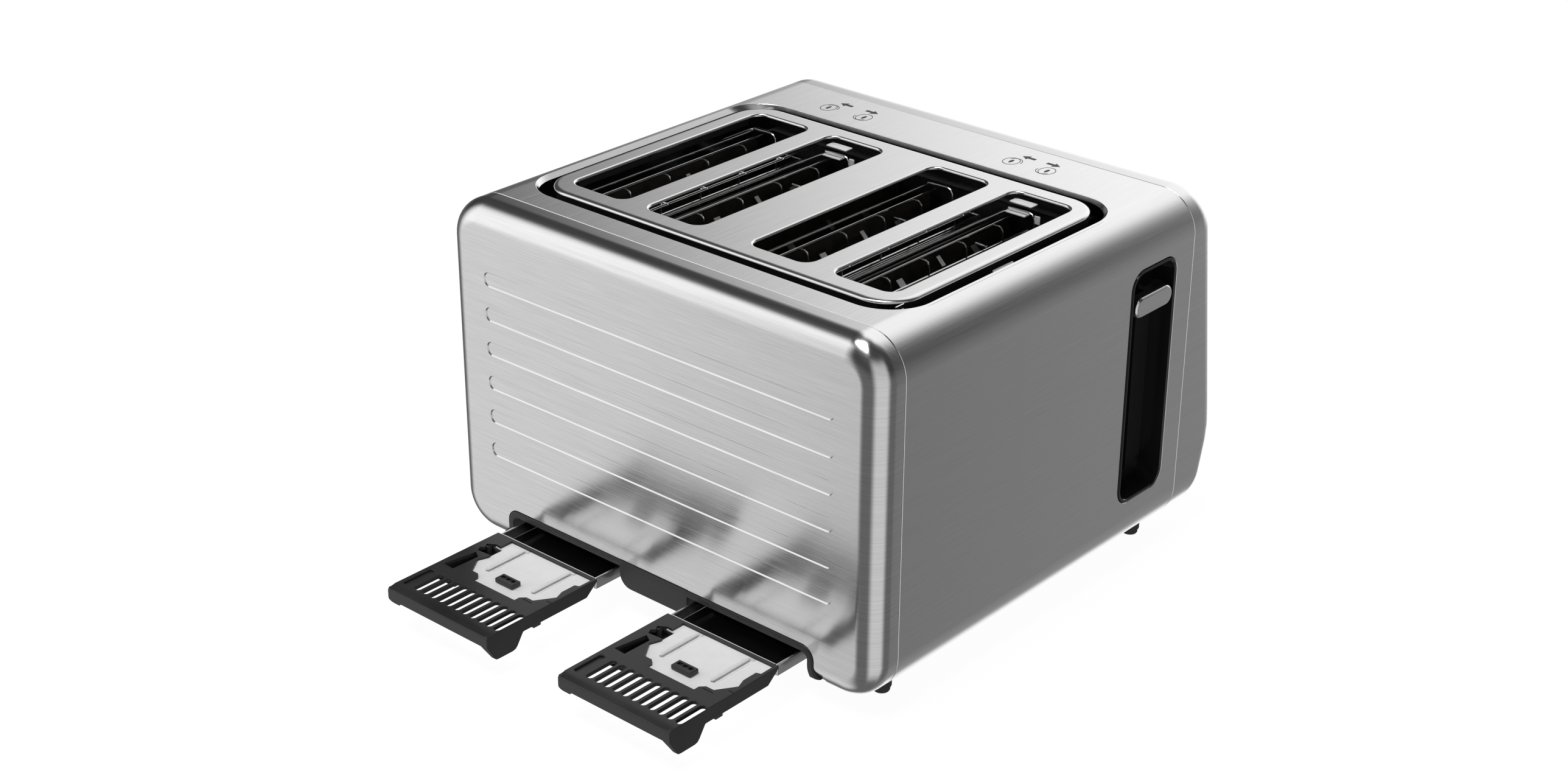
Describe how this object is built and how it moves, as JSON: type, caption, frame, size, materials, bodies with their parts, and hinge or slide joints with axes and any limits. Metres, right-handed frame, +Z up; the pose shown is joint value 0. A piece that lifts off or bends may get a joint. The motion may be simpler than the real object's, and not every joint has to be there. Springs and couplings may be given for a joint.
{
  "type": "pop up toaster",
  "caption": "Wide steel pop-up toaster in two independent halves, with side levers, long slots and crumb trays that slide out at the rear.",
  "frame": {"origin": "on the worktop under the middle of the whole part, crumb trays drawn out as stored", "axes": "+Z up, +Y towards the crumb tray side, -Y towards the side with the controls, +X across the slots"},
  "size_m": [0.302, 0.4128, 0.2079],
  "materials": {
    "casing_steel": "fine straight brushing, satin",
    "inner_steel": "plain rolled sheet",
    "wire_chrome": "bright plated wire",
    "control_steel": "fine brushing with a bright edge",
    "black_plastic": "fine grained satin",
    "gloss_black": "glossy",
    "rubber": "matte",
    "mica": "mica sheet",
    "circuit_green": "lacquered board"
  },
  "bodies": {
    "toaster": {"middle_shell": "casing_steel", "rear_cover": "casing_steel", "front_cover": "casing_steel", "slot_plate": "casing_steel", "chassis_front": "inner_steel", "chassis_rear": "inner_steel", "electromagnet_left": "inner_steel", "electromagnet_right": "inner_steel", "tray_surround": "black_plastic", "base": "black_plastic", "lever_bezel_left": "black_plastic", "lever_bezel_right": "black_plastic", "cord_bush": "rubber", "foot_front_left": "rubber", "foot_rear_left": "rubber", "foot_front_right": "rubber", "foot_rear_right": "rubber", "control_panel": "gloss_black", "bread_guard_1": "wire_chrome", "bread_guard_2": "wire_chrome", "bread_guard_3": "wire_chrome", "bread_guard_4": "wire_chrome", "guide_rod_left": "wire_chrome", "lift_spring_left": "wire_chrome", "guide_rod_right": "wire_chrome", "lift_spring_right": "wire_chrome", "heater_inner_left": "mica", "heater_middle_left": "mica", "heater_outer_left": "mica", "heater_inner_right": "mica", "heater_middle_right": "mica", "heater_outer_right": "mica", "circuit_board_left": "circuit_green", "circuit_board_right": "circuit_green"},
    "lever_left": {"carriage_left": "inner_steel", "lever_knob_left": "control_steel", "bread_rack_1": "wire_chrome", "bread_rack_2": "wire_chrome"},
    "tray_left": {"tray_front_left": "black_plastic", "crumb_plate_left": "inner_steel", "tray_clip_left": "black_plastic"},
    "knob_left": {"browning_knob_left": "control_steel"},
    "bagel_left": {"bagel_button_left": "gloss_black"},
    "defrost_left": {"defrost_button_left": "gloss_black"},
    "cancel_left": {"cancel_button_left": "gloss_black"},
    "lever_right": {"carriage_right": "inner_steel", "lever_knob_right": "control_steel", "bread_rack_3": "wire_chrome", "bread_rack_4": "wire_chrome"},
    "tray_right": {"tray_front_right": "black_plastic", "crumb_plate_right": "inner_steel", "tray_clip_right": "black_plastic"},
    "knob_right": {"browning_knob_right": "control_steel"},
    "bagel_right": {"bagel_button_right": "gloss_black"},
    "defrost_right": {"defrost_button_right": "gloss_black"},
    "cancel_right": {"cancel_button_right": "gloss_black"}
  },
  "joints": [
    {"name": "lever_slide_left", "type": "slide", "parent": "toaster", "child": "lever_left", "axis": [0, 0, 1], "range_m": [-0.1, 0.012], "stiffness_N_per_m": 90, "springref_m": 0.0142, "deforming": ["lift_spring_left"]},
    {"name": "tray_slide_left", "type": "slide", "parent": "toaster", "child": "tray_left", "axis": [0, 1, 0], "range_m": [-0.0923, 0.1]},
    {"name": "browning_turn_left", "type": "hinge", "parent": "toaster", "child": "knob_left", "pos_m": [-0.0642, -0.18858, 0.10012], "axis": [0, -0.99, 0.1409], "range_deg": [-135, 135]},
    {"name": "bagel_press_left", "type": "slide", "parent": "toaster", "child": "bagel_left", "axis": [0, 0.99, -0.1409], "range_m": [0, 0.002], "stiffness_N_per_m": 400},
    {"name": "defrost_press_left", "type": "slide", "parent": "toaster", "child": "defrost_left", "axis": [0, 0.99, -0.1409], "range_m": [0, 0.002], "stiffness_N_per_m": 400},
    {"name": "cancel_press_left", "type": "slide", "parent": "toaster", "child": "cancel_left", "axis": [0, 0.99, -0.1409], "range_m": [0, 0.002], "stiffness_N_per_m": 400},
    {"name": "lever_slide_right", "type": "slide", "parent": "toaster", "child": "lever_right", "axis": [0, 0, 1], "range_m": [-0.1, 0.012], "stiffness_N_per_m": 90, "springref_m": 0.0142, "deforming": ["lift_spring_right"]},
    {"name": "tray_slide_right", "type": "slide", "parent": "toaster", "child": "tray_right", "axis": [0, 1, 0], "range_m": [-0.0923, 0.1]},
    {"name": "browning_turn_right", "type": "hinge", "parent": "toaster", "child": "knob_right", "pos_m": [0.0642, -0.18858, 0.10012], "axis": [0, -0.99, 0.1409], "range_deg": [-135, 135]},
    {"name": "bagel_press_right", "type": "slide", "parent": "toaster", "child": "bagel_right", "axis": [0, 0.99, -0.1409], "range_m": [0, 0.002], "stiffness_N_per_m": 400},
    {"name": "defrost_press_right", "type": "slide", "parent": "toaster", "child": "defrost_right", "axis": [0, 0.99, -0.1409], "range_m": [0, 0.002], "stiffness_N_per_m": 400},
    {"name": "cancel_press_right", "type": "slide", "parent": "toaster", "child": "cancel_right", "axis": [0, 0.99, -0.1409], "range_m": [0, 0.002], "stiffness_N_per_m": 400}
  ]
}
